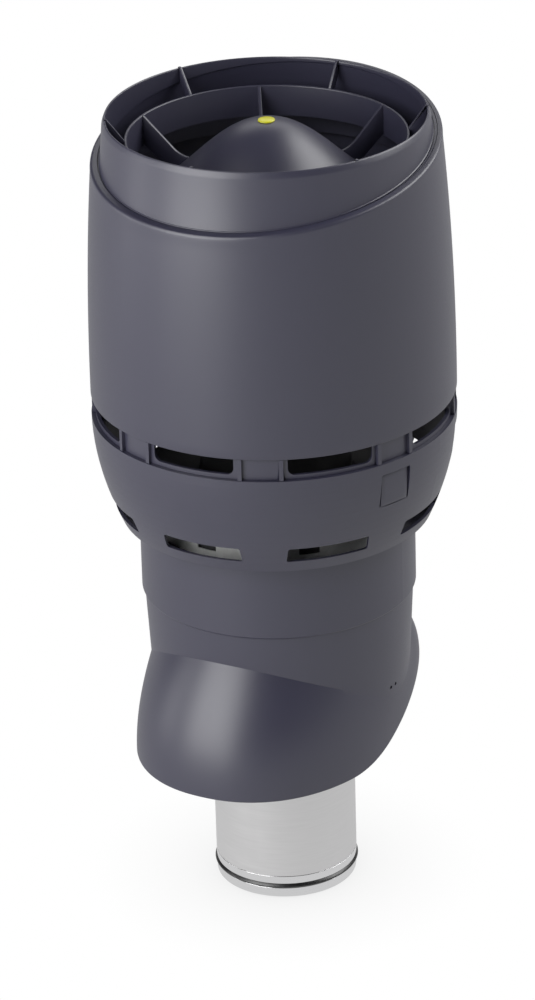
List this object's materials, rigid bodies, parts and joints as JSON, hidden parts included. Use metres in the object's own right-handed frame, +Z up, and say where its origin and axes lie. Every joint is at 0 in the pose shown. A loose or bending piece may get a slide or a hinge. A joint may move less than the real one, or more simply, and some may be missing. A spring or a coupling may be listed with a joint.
{
  "type": "roof vent pipe",
  "caption": "Insulated roof vent pipe with a steel duct, a plastic casing with a roof boot, and a lift-off flow cowl with an open crown.",
  "frame": {"origin": "centre of the steel pipe's lower mouth", "axes": "+Z up the duct, -Y towards the low side of the roof, +X to the right"},
  "size_m": [0.3132, 0.3132, 0.7174],
  "materials": {
    "cowl_plastic": "satin",
    "inner_plastic": "satin",
    "plug_yellow": "gloss",
    "duct_steel": "satin",
    "galvanised_sheet": "satin",
    "fastener_steel": "satin",
    "insulation_foam": "matte",
    "seal_rubber": "matte"
  },
  "bodies": {
    "riser": {"cowl_base": "cowl_plastic", "vent_band": "cowl_plastic", "neck_sleeve": "galvanised_sheet", "air_nozzle": "inner_plastic", "casing": "cowl_plastic", "insulation_front": "insulation_foam", "insulation_rear": "insulation_foam", "insulation_plate": "inner_plastic", "duct_pipe": "duct_steel", "spigot_coupling": "duct_steel", "lip_seal": "seal_rubber"},
    "cowl": {"cowl_drum": "cowl_plastic", "crown_collar": "cowl_plastic", "seat_ring": "cowl_plastic", "crown_grille": "cowl_plastic", "deflector_dome": "cowl_plastic", "dome_screw": "fastener_steel", "dome_washer": "fastener_steel", "hub_nut": "fastener_steel"},
    "plug": {"dome_plug": "plug_yellow"},
    "latch_tongue_rear_right": {"latch_tongue_rear_right": "cowl_plastic"},
    "latch_tongue_rear_left": {"latch_tongue_rear_left": "cowl_plastic"},
    "latch_tongue_front_left": {"latch_tongue_front_left": "cowl_plastic"},
    "latch_tongue_front_right": {"latch_tongue_front_right": "cowl_plastic"}
  },
  "joints": [
    {"name": "cowl_lift", "type": "slide", "parent": "riser", "child": "cowl", "axis": [0, 0, 1], "range_m": [0, 0.12]},
    {"name": "plug_pull", "type": "slide", "parent": "cowl", "child": "plug", "axis": [0, 0, 1], "range_m": [0, 0.02]},
    {"name": "press_rear_right", "type": "hinge", "parent": "riser", "child": "latch_tongue_rear_right", "pos_m": [0.13872, 0.05746, 0.4088], "axis": [0.3827, -0.9239, 0], "range_deg": [0, 5], "stiffness_Nm_per_rad": 2},
    {"name": "press_rear_left", "type": "hinge", "parent": "riser", "child": "latch_tongue_rear_left", "pos_m": [-0.13872, 0.05746, 0.4088], "axis": [0.3827, 0.9239, 0], "range_deg": [0, 5], "stiffness_Nm_per_rad": 2},
    {"name": "press_front_left", "type": "hinge", "parent": "riser", "child": "latch_tongue_front_left", "pos_m": [-0.13872, -0.05746, 0.4088], "axis": [-0.3827, 0.9239, 0], "range_deg": [0, 5], "stiffness_Nm_per_rad": 2},
    {"name": "press_front_right", "type": "hinge", "parent": "riser", "child": "latch_tongue_front_right", "pos_m": [0.13872, -0.05746, 0.4088], "axis": [-0.3827, -0.9239, 0], "range_deg": [0, 5], "stiffness_Nm_per_rad": 2}
  ]
}
